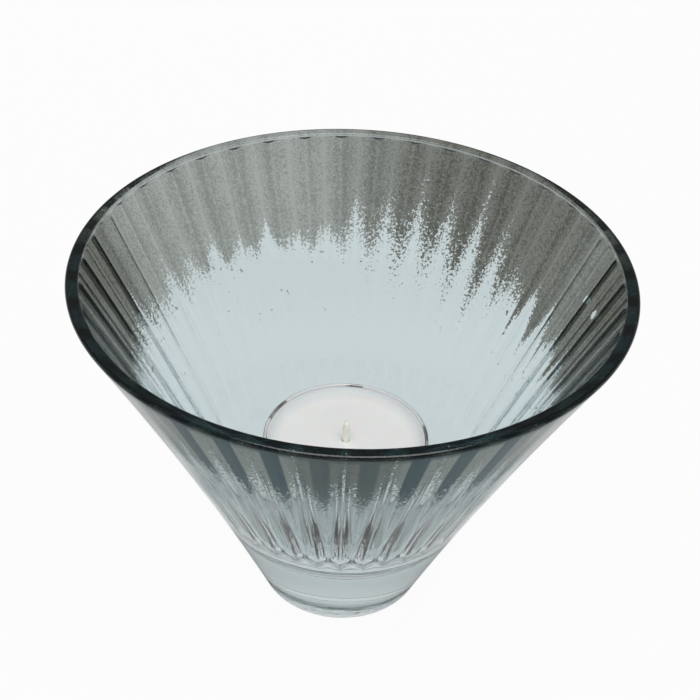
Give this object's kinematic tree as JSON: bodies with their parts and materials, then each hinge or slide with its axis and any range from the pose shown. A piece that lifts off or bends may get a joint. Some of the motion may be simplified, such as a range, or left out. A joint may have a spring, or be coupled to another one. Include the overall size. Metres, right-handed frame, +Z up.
{
  "type": "votive candle holder",
  "caption": "Flared clear glass bowl on a thick solid foot, fluted inside and smoke-tinted at the rim, with a tealight candle in an aluminium cup standing on its floor.",
  "frame": {"origin": "centre of the foot's underside, on the surface that the holder stands on", "axes": "+Z up along the bowl's axis; the bowl is round, so X and Y lie across it"},
  "size_m": [0.118, 0.118, 0.088],
  "materials": {
    "clear_glass": "fire-polished, smoke-tinted towards the rim",
    "aluminium_foil": "drawn foil, satin",
    "white_wax": "cast paraffin wax, soft sheen",
    "tinplate": "pressed tinplate",
    "cotton_wick": "braided cotton, waxed"
  },
  "bodies": {
    "holder": {"glass_bowl": "clear_glass"},
    "tealight": {"tealight_cup": "aluminium_foil"},
    "candle": {"wax_fill": "white_wax", "wick_sustainer": "tinplate", "wick": "cotton_wick"}
  },
  "joints": [
    {"name": "tealight_lift", "type": "slide", "parent": "holder", "child": "tealight", "axis": [0, 0, 1], "range_m": [0, 0.09]},
    {"name": "candle_lift", "type": "slide", "parent": "tealight", "child": "candle", "axis": [0, 0, 1], "range_m": [0, 0.025]}
  ]
}
